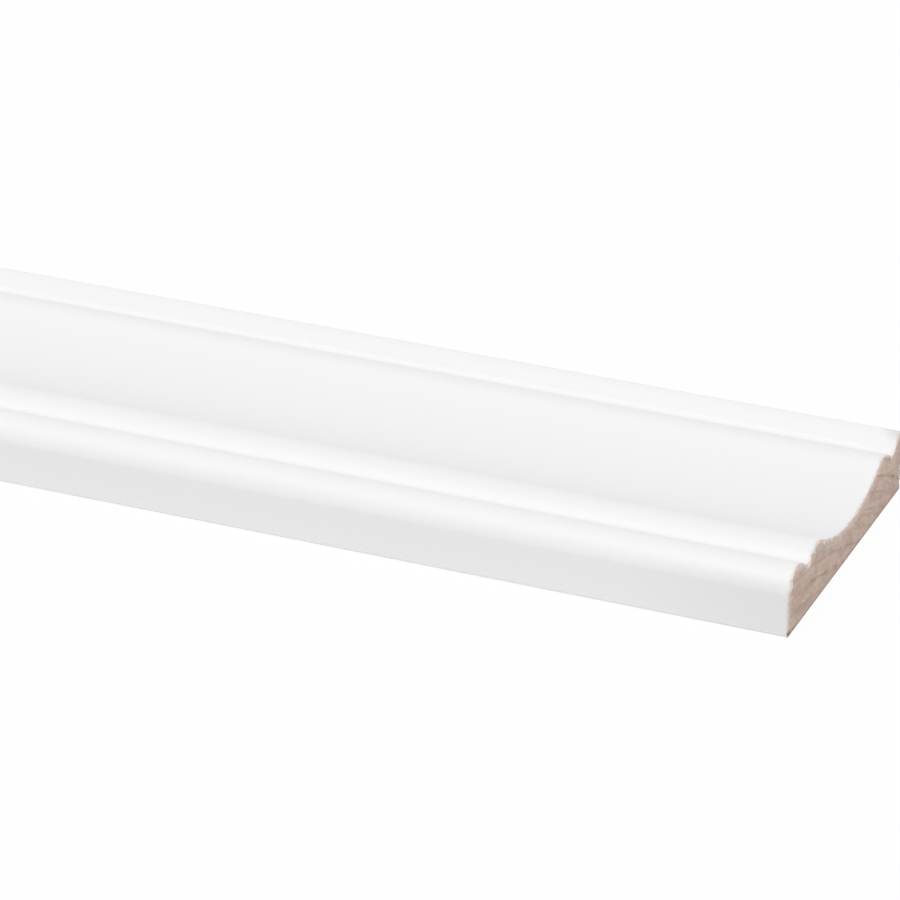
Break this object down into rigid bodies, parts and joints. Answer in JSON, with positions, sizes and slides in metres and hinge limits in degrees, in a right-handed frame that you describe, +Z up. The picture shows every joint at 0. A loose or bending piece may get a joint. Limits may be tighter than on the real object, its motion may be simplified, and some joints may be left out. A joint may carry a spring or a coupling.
{
  "type": "decorative moulding strip",
  "caption": "Long solid wood trim strip with a front roll, beads and a wide cove, painted white, flat underneath, with bare sawn ends.",
  "frame": {"origin": "middle of the flat underside, halfway along the strip and halfway across it", "axes": "+X along the strip, -Y towards the thick front edge with the large roll, +Y towards the back edge, +Z up, away from the underside"},
  "size_m": [2.4, 0.07, 0.0135],
  "materials": {
    "painted_wood": "white satin primer on the worked faces, bare wood on the sawn ends and the underside"
  },
  "bodies": {
    "root": {"moulding_strip": "painted_wood"}
  },
  "joints": []
}
